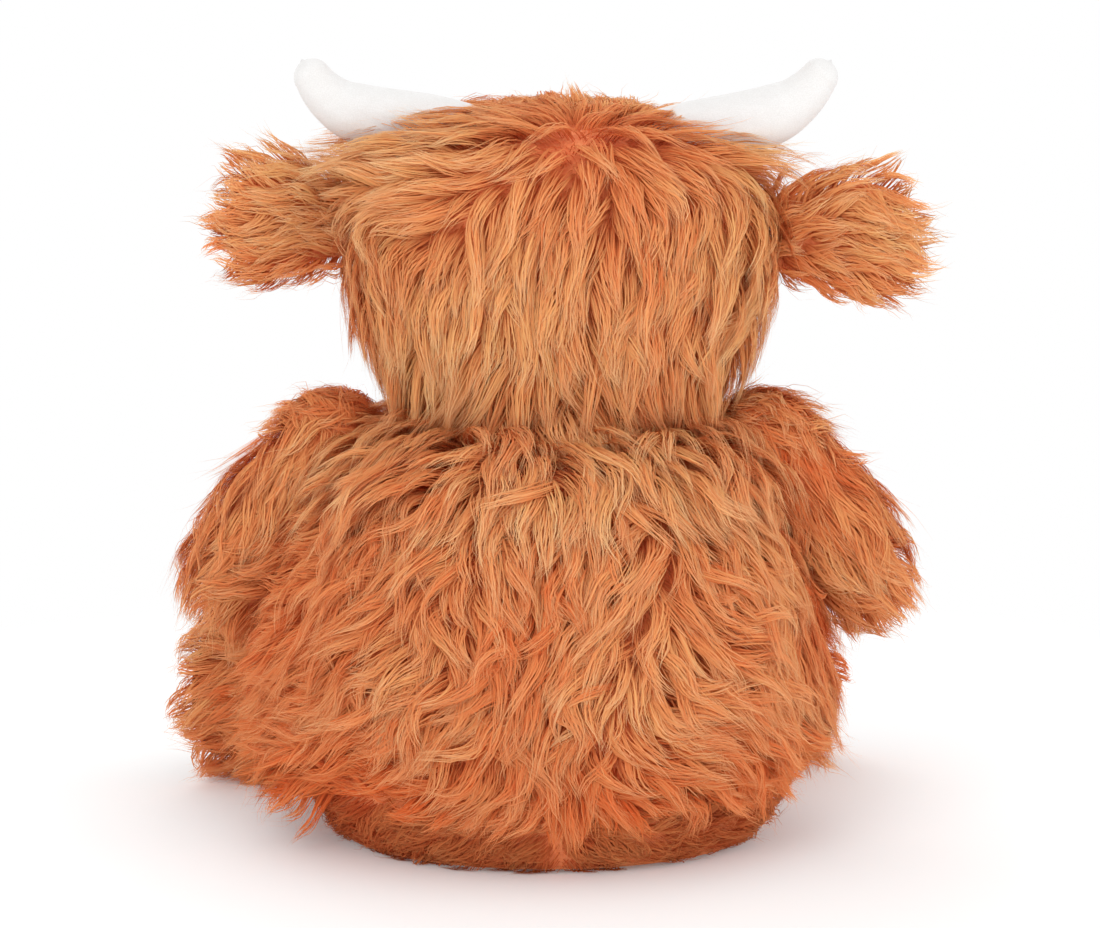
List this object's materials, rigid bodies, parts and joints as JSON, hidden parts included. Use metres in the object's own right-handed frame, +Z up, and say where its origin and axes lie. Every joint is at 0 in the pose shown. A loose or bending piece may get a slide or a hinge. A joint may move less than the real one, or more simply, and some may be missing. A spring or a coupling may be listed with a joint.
{
  "type": "plush cow",
  "caption": "Sitting stuffed cow with a long shaggy ginger coat, smooth pale horns, furry paddle ears and stub limbs.",
  "frame": {"origin": "on the surface that it sits on, at the middle of the flat of its seat", "axes": "+Z up; the face looks along -Y; the cow's left side is +X"},
  "size_m": [0.2991, 0.2568, 0.312],
  "materials": {
    "ginger_coat": "long shaggy pile",
    "stuffing": "loose polyester fibre",
    "bag_cloth": "plain woven cloth",
    "muzzle_plush": "short plush",
    "ear_plush": "short plush",
    "horn_velour": "smooth velour",
    "sole_suede": "brushed suede cloth",
    "nostril_thread": "satin stitch",
    "eye_plastic": "polished",
    "washer_plastic": "as moulded"
  },
  "bodies": {
    "torso": {"body_coat": "ginger_coat", "base_panel": "ginger_coat", "body_stuffing": "stuffing", "pellet_bag": "bag_cloth"},
    "head": {"head_coat": "ginger_coat", "head_stuffing": "stuffing", "muzzle_cover": "muzzle_plush", "forelock": "ginger_coat", "left_nostril": "nostril_thread", "left_eye": "eye_plastic", "left_eye_washer": "washer_plastic", "left_horn_cover": "horn_velour", "left_horn_stuffing": "stuffing", "right_nostril": "nostril_thread", "right_eye": "eye_plastic", "right_eye_washer": "washer_plastic", "right_horn_cover": "horn_velour", "right_horn_stuffing": "stuffing"},
    "left_ear": {"left_ear_coat": "ginger_coat", "left_ear_lining": "ear_plush"},
    "left_arm": {"left_arm_coat": "ginger_coat", "left_arm_stuffing": "stuffing"},
    "left_leg": {"left_leg_coat": "ginger_coat", "left_leg_stuffing": "stuffing", "left_foot_sole": "sole_suede"},
    "right_ear": {"right_ear_coat": "ginger_coat", "right_ear_lining": "ear_plush"},
    "right_arm": {"right_arm_coat": "ginger_coat", "right_arm_stuffing": "stuffing"},
    "right_leg": {"right_leg_coat": "ginger_coat", "right_leg_stuffing": "stuffing", "right_foot_sole": "sole_suede"}
  },
  "joints": [
    {"name": "head_nod", "type": "hinge", "parent": "torso", "child": "head", "pos_m": [-0.003, 0, 0.15], "axis": [0.9997, 0, 0.0262], "range_deg": [-12, 12], "stiffness_Nm_per_rad": 2},
    {"name": "left_ear_flap", "type": "hinge", "parent": "head", "child": "left_ear", "pos_m": [0.07944, -0.006, 0.24719], "axis": [0.0262, 0, -0.9997], "range_deg": [-12, 25], "stiffness_Nm_per_rad": 0.02},
    {"name": "right_ear_flap", "type": "hinge", "parent": "head", "child": "right_ear", "pos_m": [-0.09041, -0.006, 0.24274], "axis": [-0.0262, 0, 0.9997], "range_deg": [-12, 25], "stiffness_Nm_per_rad": 0.02},
    {"name": "left_arm_raise", "type": "hinge", "parent": "torso", "child": "left_arm", "pos_m": [0.085, -0.008, 0.156], "axis": [0, -1, 0], "range_deg": [0, 70], "stiffness_Nm_per_rad": 0.2},
    {"name": "right_arm_raise", "type": "hinge", "parent": "torso", "child": "right_arm", "pos_m": [-0.085, -0.008, 0.156], "axis": [0, 1, 0], "range_deg": [0, 70], "stiffness_Nm_per_rad": 0.2},
    {"name": "left_leg_swing", "type": "hinge", "parent": "torso", "child": "left_leg", "pos_m": [0.066, -0.07272, 0.04], "axis": [0, 0, 1], "range_deg": [-45, 0], "stiffness_Nm_per_rad": 0.3},
    {"name": "right_leg_swing", "type": "hinge", "parent": "torso", "child": "right_leg", "pos_m": [-0.066, -0.07272, 0.04], "axis": [0, 0, -1], "range_deg": [-12, 40], "stiffness_Nm_per_rad": 0.3}
  ]
}
